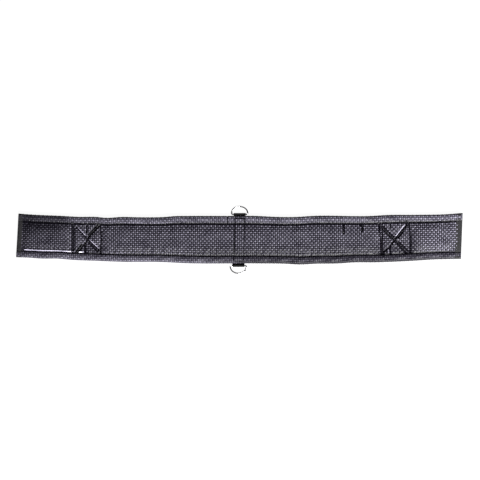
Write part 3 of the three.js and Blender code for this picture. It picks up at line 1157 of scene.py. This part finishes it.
@dataclass
class FoamCore:
    """The closed-cell foam strip between the covers."""

    belt: Belt
    spacing: float = 3.0
    under: float = 1.5  # from the inner cover's top down to the foam
    floor: float = 3.9
    band_floor: float = 5.0
    band_top: float = 6.6
    reach: float = 47.0

    def build(self) -> None:
        """Makes one closed strip for each zone, thin in the bands and crowned between the seams."""
        w = np.linspace(-self.reach, self.reach, round(2 * self.reach / self.spacing) + 1)
        for zone in self.belt.zones:
            x = zone.columns(self.spacing, TAPE_MOUTH)
            gx, gw = np.meshgrid(x, w, indexing="ij")
            band = smooth(np.abs(gw), SEAM_W - 2.5, SEAM_W + 1)
            top = (self.belt.padding.height(x, w) - self.under) * (1 - band) + self.band_top * band
            bottom = self.floor + (self.band_floor - self.floor) * band
            skins = [self.belt.form.place(gx, gw, z) for z in (np.maximum(top, bottom + 0.5), bottom)]
            piece = shell(f"foam_core_{zone.name}", *skins, fabric_map(gx, gw))
            self.belt.dress(piece, self.belt.finishes.foam, "foam", zone.nodes("foam_core"))
            zone.join(piece)


@dataclass
class OuterCover:
    """The plain woven lining on the far face."""

    belt: Belt
    base: float = 2.8
    thickness: float = 0.8
    spacing: float = 1.8
    tuck: float = 1.2

    def bottom(self, x: np.ndarray, w: np.ndarray) -> np.ndarray:
        """The lining's lowest surface: almost flat, drawn up a little along the seams and sewn rows."""
        rows = distance_to_lines(x, w, self.belt.plan.cover_lines())
        seam = np.abs(SEAM_W - np.abs(w))
        drawn = 0.5 * bell(rows, 1.6) + 0.5 * bell(seam, 2.2)
        waves = 0.12 * ripple(x + 0.5 * w, 23, 21) * ripple(w - 0.3 * x, 19, 22)
        return self.base + drawn + waves * smooth(seam, 0, 6)

    def build(self) -> None:
        """Makes one closed sheet for each zone."""
        reach = SEAM_W + self.tuck
        w = np.linspace(-reach, reach, round(2 * reach / self.spacing) + 1)
        for zone in self.belt.zones:
            x = zone.columns(self.spacing)
            gx, gw = np.meshgrid(x, w, indexing="ij")
            bottom = self.bottom(gx, gw)
            # The rows run the other way, so that the sheet faces down.
            skins = [self.belt.form.place(gx, gw, z)[::-1] for z in (bottom, bottom + self.thickness)]
            piece = shell(f"outer_cover_{zone.name}", *skins, fabric_map(gx, gw)[::-1])
            self.belt.dress(piece, self.belt.finishes.lining, "lining", zone.nodes("outer_cover"))
            zone.join(piece)


@dataclass
class EdgeBinding:
    """A strip of the embossed leatherette folded round one long edge, and puffed by the foam inside."""

    belt: Belt
    sign: int
    thickness: float = 0.9
    relief: float = 0.85
    heart: tuple[float, float] = (42.0, 6.1)  # the middle of the roll, across the belt and up
    profile: tuple = (
        (34.3, 7.3), (34.5, 8.7), (36.6, 9.3), (40.4, 10.1), (44.2, 10.2), (47.4, 9.3), (49.5, 7.4),
        (49.9, 5.6), (48.9, 3.9), (46.2, 2.8), (41.5, 2.5), (37.0, 2.6), (35.2, 3.0), (34.4, 3.7),
    )

    @property
    def word(self) -> str:
        """The binding's place in its name."""
        return "top" if self.sign > 0 else "bottom"

    def line(self) -> tuple[np.ndarray, np.ndarray]:
        """The profile as an even run of points.

        Returns:
            The (w, z) points at even steps along the profile's length, and that length at each of them.
        """
        knots = np.array(self.profile)
        at = np.linspace(0, len(knots) - 1, 400)
        dense = upsample(knots, at, 0)
        length = running_length(dense)
        s = np.arange(0, length[-1], FINE)
        return read_along(dense, length, s), s

    def top(self, w: np.ndarray) -> np.ndarray:
        """The height of the binding's upper face at a distance from the belt's middle line."""
        points, _ = self.line()
        crest = points[: np.argmax(points[:, 0])]
        return np.interp(np.abs(w), crest[:, 0], crest[:, 1])

    def glint(self, x: np.ndarray) -> np.ndarray:
        """Where the binding's sewn edge is left without the painted shade, so that its glint shows, from 0 to
        1: two lengths of the upper one.
        """
        long_one = smooth(x, -262, -245) * smooth(-x, 128, 150)
        short_one = smooth(x, -437, -429) * smooth(-x, 398, 406)
        return (long_one + short_one) * (self.sign > 0)

    def surfaces(self, x: np.ndarray) -> tuple[np.ndarray, np.ndarray, np.ndarray, np.ndarray]:
        """The binding's outer and inner surfaces in belt space.

        The profile swells and shrinks about its heart by slow waves along x, short creases cross it near the
        seam, it is pinched in the end bindings, and the weave stands on its outward side. The inner surface
        is the same profile, nearer the heart by the thickness.

        Args:
            x: Rising positions along the belt.

        Returns:
            Outer points, inner points, the fabric map and tones of painted shade and highlight, each rows by
            columns.
        """
        points, s = self.line()
        heart = np.array(self.heart)
        spoke = points - heart
        step = np.gradient(points, axis=0)
        normal = np.stack([-step[:, 1], step[:, 0]], axis=1)
        normal /= np.linalg.norm(normal, axis=1, keepdims=True)
        gx, gs = np.meshgrid(x, s, indexing="ij")
        swell = 1 + 0.07 * ripple(gx + 3 * gs, 46, 31 + self.sign) + 0.035 * ripple(gx, 17, 35 + self.sign)
        off_seam = smooth(gs, 0, 2.5)
        crease = 0.25 * ripple(gx + 0.4 * gs, 7, 41 + self.sign) * np.exp(-gs / 6) * off_seam
        weave = basket(gx, gs + 2.0) * smooth(gs, 0.5, 2.0)
        w = heart[0] + spoke[:, 0]
        join = np.abs(gx - self.belt.plan.band_join) + AWAY * (self.sign < 0)
        rows = distance_to_lines(gx, np.broadcast_to(self.sign * w, gx.shape), self.belt.plan.cover_lines())
        sewn = np.minimum(join, rows) + AWAY * (gs > 20)
        pinch = self.belt.end_pinch(gx)
        swell_z = 1 + (swell - 1) * off_seam
        z = heart[1] + spoke[:, 1] * np.where(spoke[:, 1] > 0, swell_z, 1.0)
        groove = -0.8 * bell(sewn, 1.2) * smooth(gs, 1, 3)
        lift = crease + self.relief * weave + groove
        # Painted shade: darker in the weave's dips, black beside the seam and the rows, and shaded by place.
        tone = (0.3 + 0.7 * weave) * smooth(gs, 1.8, 4.0) * smooth(sewn, 0.5, 1.6)
        tone = tone * self.belt.wear_and_painted_light.share(gx, self.sign * w)
        # Painted shade over the first weave row beside the seam, except where the edge keeps its glint.
        tone = tone * (1 - 0.3 * bell(gs - 3.2, 2.4) * (1 - self.glint(gx)))
        lift = lift * np.where(points[:, 1] < 3.2, 0.3, 1.0)  # the weave is pressed flat underneath
        outer_w = w + normal[:, 0] * lift
        outer_z = z + normal[:, 1] * lift
        inner_w = np.broadcast_to(w - normal[:, 0] * self.thickness, gx.shape)
        inner_z = z - normal[:, 1] * self.thickness
        squeeze = [heart[1] + (v - heart[1]) * pinch for v in (outer_z, inner_z)]
        outer = np.stack([gx, self.sign * outer_w, squeeze[0]], axis=-1)
        inner = np.stack([gx, self.sign * inner_w, squeeze[1]], axis=-1)
        return outer, inner, fabric_map(gx, self.sign * gs + AWAY * self.sign), tone

    def build(self) -> None:
        """Makes one closed strip for each zone."""
        form = self.belt.form
        for zone in self.belt.zones:
            grids = self.surfaces(zone.columns(FINE))
            outer, inner, uv, tone = [g[::-1] for g in grids] if self.sign > 0 else grids
            skins = [form.place(*np.moveaxis(g, -1, 0)) for g in (outer, inner)]
            piece = shell(f"{self.word}_binding_{zone.name}", *skins, uv, tone)
            nodes = zone.nodes(f"{self.word}_binding")
            self.belt.dress(piece, self.belt.finishes.leatherette, "edge_binding", nodes)
            zone.join(piece)


@dataclass
class EndBinding:
    """Smooth tape folded over one tip of the belt."""

    belt: Belt
    side: int
    width: float
    thickness: float = 0.6
    spacing: float = 0.8
    reach: float = 50.4  # half of the tape's length
    middle: float = 5.2  # the height from which its two faces are measured
    low: float = 0.42  # the lower face's level, as a share

    def build(self) -> None:
        """Makes the tape as a closed shell: in over the upper face, round the tip and back under."""
        tip = self.belt.form.half_length
        mouth = tip - self.width
        upper = [(mouth, 1.0), (mouth + 1.2, 1.0), (mouth + 6, 0.97), (tip - 2.6, 0.9), (tip - 0.8, 0.66)]
        round_tip = [(tip, 0.36), (tip, 0.1), (tip - 0.9, -0.22), (tip - 2.8, -0.36)]
        lower = [(mouth + 6, -0.4), (mouth + 1.2, -self.low), (mouth, -self.low)]
        knots = np.array(upper + round_tip + lower)
        line = upsample(knots, np.linspace(0, len(knots) - 1, 60), 0)
        w = np.linspace(-self.reach, self.reach, round(2 * self.reach / self.spacing) + 1)
        reach, gw = np.meshgrid(line[:, 0], w, indexing="ij")
        level = line[:, 1][:, None]
        beside = np.abs(gw)
        crest = 8.75 + 0.75 * smooth(beside, SEAM_W - 1, SEAM_W + 2.5)
        crest = crest + 0.12 * ripple(gw + reach, 17, 51 + self.side) - 0.5 * bell(beside - SEAM_W, 1.6)
        fall = 1 - np.sqrt(np.clip(1 - smooth(beside, 45.5, 50.9) ** 2, 0.02, 1))
        height = np.where(level > 0, crest - self.middle, 3.0) * level / np.where(level > 0, 1.0, self.low)
        height = height * (1 - 0.62 * fall)
        scallop = 0.35 * ripple(gw, 26, 55 + self.side) * smooth(tip - reach, 8, tip - mouth)
        points = np.stack([self.side * (reach + scallop), gw, self.middle + height], axis=-1)
        inner = points - outward(points) * self.side * self.thickness
        uv = fabric_map(np.arange(len(line))[:, None] * 0.6 + 0 * gw, gw)
        grids = [self.belt.form.place(*np.moveaxis(g, -1, 0)) for g in (points, inner)]
        if self.side < 0:
            grids, uv = [g[::-1] for g in grids], uv[::-1]
        word = word_of(self.side)
        piece = shell(f"{word}_end_tape", *grids, uv)
        self.belt.dress(piece, self.belt.finishes.tape, "end_tape", [f"{word}_end_binding"])
        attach(piece, f"{word}_tab")


@dataclass
class FacePatch:
    """A flat patch sewn to the far face, with a rounded rim and a textured lower side."""

    belt: Belt
    name: str
    x: tuple[float, float]
    w: tuple[float, float]
    finish: bpy.types.Material
    slot_name: str
    node: str
    top: float = 2.6
    thickness: float = 2.3
    texture: float = 0.35
    pitch: float = 1.3
    spacing: float = 0.7

    def build(self) -> bpy.types.Object:
        """Makes the patch: its lower side steps up to a sewn rim, and carries rows of small mounds inside it.

        Returns:
            The patch, not yet riding on anything.
        """
        x = np.linspace(*self.x, round((self.x[1] - self.x[0]) / self.spacing) + 1)
        w = np.linspace(*self.w, round((self.w[1] - self.w[0]) / self.spacing) + 1)
        gx, gw = np.meshgrid(x, w, indexing="ij")
        rim = np.minimum.reduce([gx - self.x[0], self.x[1] - gx, gw - self.w[0], self.w[1] - gw])
        inside = smooth(rim, 3.2, 4.2)
        mounds = np.sin(math.pi * gx / self.pitch) ** 2 * np.sin(math.pi * gw / self.pitch) ** 2
        depth = (self.thickness - self.texture) * (0.35 + 0.25 * smooth(rim, 0, 1.6) + 0.4 * inside)
        lower = self.top - depth - self.texture * mounds * inside
        skins = [self.belt.form.place(gx, gw, z)[::-1] for z in (lower, np.full(gx.shape, self.top))]
        piece = shell(self.name, *skins, fabric_map(gx, gw)[::-1])
        return self.belt.dress(piece, self.finish, self.slot_name, [self.node])


@dataclass
class Patches:
    """The hook and loop patches and the blank label on the far face."""

    belt: Belt
    half_height: float = 31.0
    hook: tuple[float, float] = (367.0, 461.0)
    label_x: tuple[float, float] = (221.0, 263.5)
    label_w: tuple[float, float] = (14.0, 34.0)

    def build(self) -> None:
        """Makes the five patches."""
        belt, finishes, plan = self.belt, self.belt.finishes, self.belt.plan
        across = (-self.half_height, self.half_height)
        for zone in (zone for zone in belt.zones if zone.far.endswith("tab")):
            word = word_of(zone.side)
            hook = tuple(sorted(zone.side * v for v in self.hook))
            box = plan.right_box if zone.side > 0 else plan.left_box
            for name, x, finish, slot, node, pitch in (
                (f"{word}_hook_tape", hook, finishes.hooks, "hook_tape", f"{word}_hook_patch", 1.4),
                (f"{word}_loop_pile", box, finishes.loops, "loop_tape", f"{word}_loop_patch", 2.3),
            ):
                piece = FacePatch(belt, name, x, across, finish, slot, node, pitch=pitch).build()
                if x is hook:
                    zone.join(piece)
                else:
                    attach(piece, f"{word}_box")
        label = FacePatch(
            belt, "blank_label", self.label_x, self.label_w, finishes.label, "label", "woven_label",
            thickness=0.6, texture=0.05,
        ).build()
        belt.zone("right_box").join(label)


@dataclass
class RingGeometry:
    """Sizes that the D-rings and their webbing share."""

    bar_y: float = 54.9
    bar_z: float = 3.0
    strap_x: float = -1.1
    slant: float = 0.025
    wire: float = 1.75
    half_width: float = 17.25
    height: float = 16.9
    corner: float = 3.0

    @property
    def tilt(self) -> float:
        """The angle at which a ring's crown comes down to the surface."""
        return math.asin((self.bar_z - self.wire) / self.height)


@dataclass
class DRing:
    """A bent wire ring with a straight bar."""

    belt: Belt
    ring: RingGeometry
    side: int
    steps: int = 220
    sides: int = 20

    def path(self) -> np.ndarray:
        """The wire's middle line in the ring's own plane.

        Half of the bar, a quarter circle, half an ellipse over both corners, a quarter circle and the rest
        of the bar, at even steps.

        Returns:
            Pairs in mm.
        """
        r = self.ring
        flat = r.half_width - r.corner
        turn = np.linspace(-math.pi / 2, 0, 12)
        dome = np.linspace(0, math.pi, 90)
        right = np.stack([flat + r.corner * np.cos(turn), r.corner + r.corner * np.sin(turn)], axis=1)
        rise = r.corner + (r.height - r.corner) * np.sin(dome)
        crown = np.stack([r.half_width * np.cos(dome), rise], axis=1)
        left = right[::-1] * (-1, 1)
        line = np.concatenate([[(0, 0)], right, crown[1:-1], left, [(0, 0)]])
        length = running_length(line)
        return read_along(line, length, np.linspace(0, length[-1], self.steps, endpoint=False))

    def build(self) -> None:
        """Sweeps the wire round its path, tilts the ring about its bar and puts it at its edge."""
        r = self.ring
        u, v = self.path().T
        angle = np.linspace(0, 2 * math.pi, self.sides, endpoint=False)
        section = np.stack([np.cos(angle), np.sin(angle)], axis=1) * r.wire * MM
        cosine, sine = math.cos(r.tilt), math.sin(r.tilt)
        x = r.strap_x + r.slant * self.side * r.bar_y + u * self.side
        y = self.side * (r.bar_y + v * cosine)
        path = np.stack([x, y, r.bar_z - v * sine], axis=1) * MM
        along = np.roll(path, -1, axis=0) - np.roll(path, 1, axis=0)
        along /= np.linalg.norm(along, axis=1, keepdims=True)
        up = np.array([0, self.side * sine, cosine]) * np.ones((len(path), 1))
        across = np.cross(up, along)
        word = "top" if self.side > 0 else "bottom"
        piece = sweep(f"{word}_ring_wire", path, up, across, section)
        self.belt.dress(piece, self.belt.finishes.nickel, "ring_metal", [f"{word}_d_ring"])
        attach(piece, f"{word}_d_ring")


@dataclass
class RingStrap:
    """Webbing across the far face, with each end turned round a ring's bar and back."""

    belt: Belt
    ring: RingGeometry
    width: float = 26.0
    thickness: float = 1.0
    turn_radius: float = 2.5
    return_y: float = 24.0
    rib: float = 1.5
    rib_height: float = 0.12
    main: float = 1.98  # the height of the strap's long run
    step: float = 0.45

    def side_view(self) -> tuple[np.ndarray, np.ndarray]:
        """The strap's middle line seen from the side, at even steps.

        From one turned-back end below, round the first bar, across above that end, and the same mirrored.

        Returns:
            The (y, z) pairs in mm, and the distance along the strap at each of them.
        """
        r, main = self.ring, self.main
        angle = np.radians(np.linspace(-90, 160, 40))
        arc_y = r.bar_y + self.turn_radius * np.cos(angle)
        arc_z = r.bar_z + self.turn_radius * np.sin(angle)
        arc = np.stack([arc_y, arc_z], axis=1)
        last = arc[-1, 0]
        foot = [(last - 0.28, main + 1), (last - 0.7, main + 0.3), (last - 1.7, main), (last - 4, main)]
        half = np.concatenate([[(self.return_y, 0.52), (38, 0.52), (50, 0.51)], arc, foot, [(20, main)]])
        line = np.concatenate([half, half[::-1] * (-1, 1)])
        length = running_length(line)
        s = np.arange(0, length[-1], self.step)
        return read_along(line, length, s), s

    def build(self) -> None:
        """Makes the strap as a closed shell with ribs across it and slightly thinner selvedges."""
        line, s = self.side_view()
        y, z = line.T
        step = np.gradient(line, axis=0)
        step /= np.linalg.norm(step, axis=1, keepdims=True)
        normal_y, normal_z = -step[:, 1], step[:, 0]
        a = np.linspace(-self.width / 2, self.width / 2, 53)
        gs, ga = np.meshgrid(s, a, indexing="ij")
        edge = 1 - 0.35 * smooth(np.abs(ga), self.width / 2 - 1.4, self.width / 2)
        lane = (np.floor(ga / 2.2) % 2) * 0.5
        ribs = self.rib_height * np.cos(2 * math.pi * (gs / self.rib + lane))
        grids = []
        for sign in (1, -1):
            half = sign * (self.thickness / 2 * edge - 0.06 + 0.5 * ribs * edge)
            py = y[:, None] + normal_y[:, None] * half
            pz = z[:, None] + normal_z[:, None] * half
            px = self.ring.strap_x + ga + self.ring.slant * py
            grids.append(np.stack([px, py, pz], axis=-1) * MM)
        piece = shell("ring_strap", grids[0][::-1], grids[1][::-1], fabric_map(ga, gs)[::-1])
        self.belt.dress(piece, self.belt.finishes.webbing, "webbing", ["d_ring_webbing"])
        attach(piece, "centre")


@dataclass
class Stitching:
    """Every row of stitches, each stitch a short bent roll of thread."""

    belt: Belt
    lining: OuterCover
    binding: EdgeBinding
    radius: float = 0.42
    pitch: float = 3.4
    share: float = 0.8  # of the pitch that shows as thread
    sides: int = 6
    rings: int = 5
    sample: float = 0.5  # the spacing at which the cover's height is read
    levels: int = 141  # rows of that reading across the belt

    def along(self, lines: list[Line], wander: float = 0.0) -> tuple[np.ndarray, np.ndarray]:
        """Even stitches along straight rows.

        Args:
            lines: The rows.
            wander: How far a row strays to each side, in mm.

        Returns:
            The stitches' middles and their unit directions in belt space.
        """
        middles, ways = [], []
        for (x0, w0), (x1, w1) in lines:
            length = math.hypot(x1 - x0, w1 - w0)
            count = max(2, round(length / self.pitch))
            t = (np.arange(count) + 0.5) / count
            way = np.array([(x1 - x0) / length, (w1 - w0) / length])
            point = np.array([x0, w0]) + t[:, None] * length * way
            stray = wander * ripple(point[:, 0] + point[:, 1], 70, 61)
            middles.append(point + stray[:, None] * np.array([-way[1], way[0]]))
            ways.append(np.tile(way, (count, 1)))
        return np.concatenate(middles), np.concatenate(ways)

    def surface(self, x: np.ndarray, w: np.ndarray, face: Face) -> np.ndarray:
        """The height of the skin at scattered points of one face.

        Args:
            x: Along the belt.
            w: Across it.
            face: Which face.

        Returns:
            Heights in mm.
        """
        if face is Face.OUTER:
            return np.where(np.abs(w) > SEAM_W, 2.6, self.lining.bottom(x, w))
        near = np.round((x + TAPE_MOUTH) / self.sample).astype(int)
        grid_x = np.unique(near)
        column = np.searchsorted(grid_x, near)
        levels = np.linspace(-SEAM_W, SEAM_W, self.levels)
        table = self.belt.padding.height(grid_x * self.sample - TAPE_MOUTH, levels)
        row = np.round((w + SEAM_W) / (levels[1] - levels[0])).astype(int)
        row = np.clip(row, 0, self.levels - 1)
        band = self.binding.top(w) * self.belt.end_pinch(x) + 0.2
        return np.where(np.abs(w) > SEAM_W, band, table[column, row])

    def sew(
        self, name: str, lines: list[Line], nodes: list[str], face: Face = Face.INNER, wander: float = 0.0
    ) -> bpy.types.Object:
        """Makes one object of all the stitches on some rows.

        Each stitch is a tube of a few rings, narrow at both ends, which rises in the middle and sinks into
        the skin at its ends.

        Args:
            name: The object's name.
            lines: The rows.
            nodes: The CAD nodes that it stands for.
            face: The face that they are on.
            wander: How far a row strays.

        Returns:
            The object, dressed.
        """
        middle, way = self.along(lines, wander)
        count = len(middle)
        t = np.linspace(-0.5, 0.5, self.rings)
        length = self.pitch * self.share
        station = middle[:, None] + t[None, :, None] * length * way[:, None]
        z = self.surface(station[..., 0].ravel(), station[..., 1].ravel(), face).reshape(count, self.rings)
        arch = 0.62 * np.cos(math.pi * t) - 0.28
        z = z + face.value * arch * self.radius * 2
        angle = np.linspace(0, 2 * math.pi, self.sides, endpoint=False)
        thick = self.radius * np.sqrt(np.clip(1 - (1.85 * t) ** 2, 0.12, 1))
        side = np.stack([-way[:, 1], way[:, 0]], axis=1)
        across = thick[:, None] * np.cos(angle)
        up = thick[:, None] * np.sin(angle)
        xw = station[:, :, None, :] + across[None, :, :, None] * side[:, None, None, :]
        points = self.belt.form.place(xw[..., 0], xw[..., 1], z[:, :, None] + up[None]).reshape(-1, 3)
        tube = grid_faces(self.rings, self.sides, False, True)
        cap = np.array([[0, 1, 2, 3], [0, 3, 4, 5]])
        far_cap = cap[:, ::-1] + (self.rings - 1) * self.sides
        one = np.concatenate([tube[:, ::-1], cap, far_cap])
        each = self.rings * self.sides
        faces = (one[None] + (np.arange(count) * each)[:, None, None]).reshape(-1, 4)
        return self.belt.dress(make_object(name, points, faces), self.belt.finishes.thread, "thread", nodes)

    def build(self) -> None:
        """Makes the long seams, the boxes, the strap's rectangle and the label's rows."""
        plan = self.belt.plan
        for zone in self.belt.zones:
            far = min(abs(zone.end), TAPE_MOUTH) if zone.side > 0 else zone.end
            start = max(zone.start, -TAPE_MOUTH)
            for word, face, at in (("seam", Face.INNER, SEAM_W), ("lining", Face.OUTER, SEAM_W + 1.6)):
                rows = [((start, w), (far, w)) for w in (at, -at)]
                zone.join(self.sew(f"{word}_stitches_{zone.name}", rows, [], face, 0.25))
        for word, rows in (("left", plan.left_cross()), ("right", plan.right_cross())):
            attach(self.sew(f"{word}_box_rows", rows, [f"{word}_box_stitching"]), f"{word}_box")
        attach(self.sew("strap_rows", plan.strap_rows(), ["strap_stitching"]), "centre")
        self.belt.zone("right_box").join(self.sew("label_rows", list(plan.label_rows), []))


# ---------------------------------------------------------------- studio


@dataclass
class Studio:
    """A pale floor, soft lights and the camera straight above the belt."""

    field_width: float = 1.032
    lens: float = 85.0
    sensor: float = 36.0
    floor_size: float = 30.0
    floor_glow: float = 0.95
    near_glow: float = 0.6
    overhead: float = 0.07
    dim: float = 0.05

    def light(self, name: str, place: tuple, size: tuple, power: float, target: tuple = (0, 0, 0)) -> None:
        """Adds one soft light that faces a target."""
        data = bpy.data.lights.new(name, "AREA")
        data.shape = "RECTANGLE"
        data.size, data.size_y = size
        data.energy = power
        lamp = bpy.data.objects.new(name, data)
        way = np.array(target) - np.array(place)
        lamp.location = place
        across = math.hypot(way[0], way[1])
        lamp.rotation_euler = (math.atan2(across, -way[2]), 0, math.atan2(-way[0], way[1]))
        bpy.context.scene.collection.objects.link(lamp)

    def floor(self) -> None:
        """Adds the floor, a plain near-white sheet just under the belt."""
        half = self.floor_size / 2
        corners = np.array([(-half, -half, 0), (half, -half, 0), (half, half, 0), (-half, half, 0)])
        floor = make_object("floor", corners, np.array([[0, 1, 2, 3]]))
        g = Graph("floor")
        g.set(Base_Color=(0.09, 0.09, 0.09, 1), Roughness=0.9, Specular_IOR_Level=0.0)
        g.set(Emission_Color=(1, 1, 1, 1), Emission_Strength=self.floor_glow)
        floor.data.materials.append(g.material)

    def sky(self) -> None:
        """Sets a dim white surround with one glow low down on the near side and another overhead."""
        world = bpy.data.worlds.new("studio")
        world.use_nodes = True
        tree = world.node_tree
        way = tree.nodes.new("ShaderNodeTexCoord").outputs["Generated"]
        split = tree.nodes.new("ShaderNodeSeparateXYZ")
        tree.links.new(way, split.inputs["Vector"])
        level = None
        for axis, low, high, first, last in (
            ("Y", -0.75, -0.15, self.near_glow, 0.0),
            ("Z", 0.55, 0.9, self.dim, self.overhead),
        ):
            ramp = tree.nodes.new("ShaderNodeMapRange")
            tree.links.new(split.outputs[axis], ramp.inputs["Value"])
            for key, value in zip(("From Min", "From Max", "To Min", "To Max"), (low, high, first, last)):
                ramp.inputs[key].default_value = value
            if level is not None:
                total = tree.nodes.new("ShaderNodeMath")
                tree.links.new(level, total.inputs[0])
                tree.links.new(ramp.outputs["Result"], total.inputs[1])
                tree.links.new(total.outputs["Value"], tree.nodes["Background"].inputs["Strength"])
            level = ramp.outputs["Result"]
        tree.nodes["Background"].inputs["Color"].default_value = (1, 1, 1, 1)
        bpy.context.scene.world = world

    def build(self) -> None:
        """Sets up the floor, the lights, the sky and the camera."""
        self.floor()
        self.light("key", (0.8, -2.25, 1.9), (1.6, 0.8), 215)
        self.light("side", (1.5, -0.7, 0.8), (0.5, 0.5), 22)
        self.sky()
        scene = bpy.context.scene
        scene.view_settings.view_transform = "Standard"
        camera = bpy.data.cameras.new("camera")
        camera.lens, camera.sensor_width = self.lens, self.sensor
        eye = bpy.data.objects.new("camera", camera)
        eye.location = (0.001, 0.0, self.field_width * self.lens / self.sensor)
        scene.collection.objects.link(eye)
        scene.camera = eye


def main() -> None:
    """Builds the belt round the frame, piece by piece."""
    logging.basicConfig(level=logging.INFO, format="%(name)s: %(message)s")
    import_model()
    Studio().build()
    form, plan = BeltForm(), StitchPlan()
    belt = Belt(form, plan, belt_zones(), Padding(plan), Finishes())
    lining = OuterCover(belt)
    bindings = [EdgeBinding(belt, sign) for sign in (1, -1)]
    ring = RingGeometry()
    for assembly in (
        InnerCover(belt),
        FoamCore(belt),
        lining,
        *bindings,
        EndBinding(belt, 1, 13.7),
        EndBinding(belt, -1, 10.2),
        Patches(belt),
        RingStrap(belt, ring),
        DRing(belt, ring, 1),
        DRing(belt, ring, -1),
        Stitching(belt, lining, bindings[0]),
    ):
        assembly.build()
        LOG.info("%s done", type(assembly).__name__)
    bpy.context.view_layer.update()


if __name__ == "__main__":
    main()
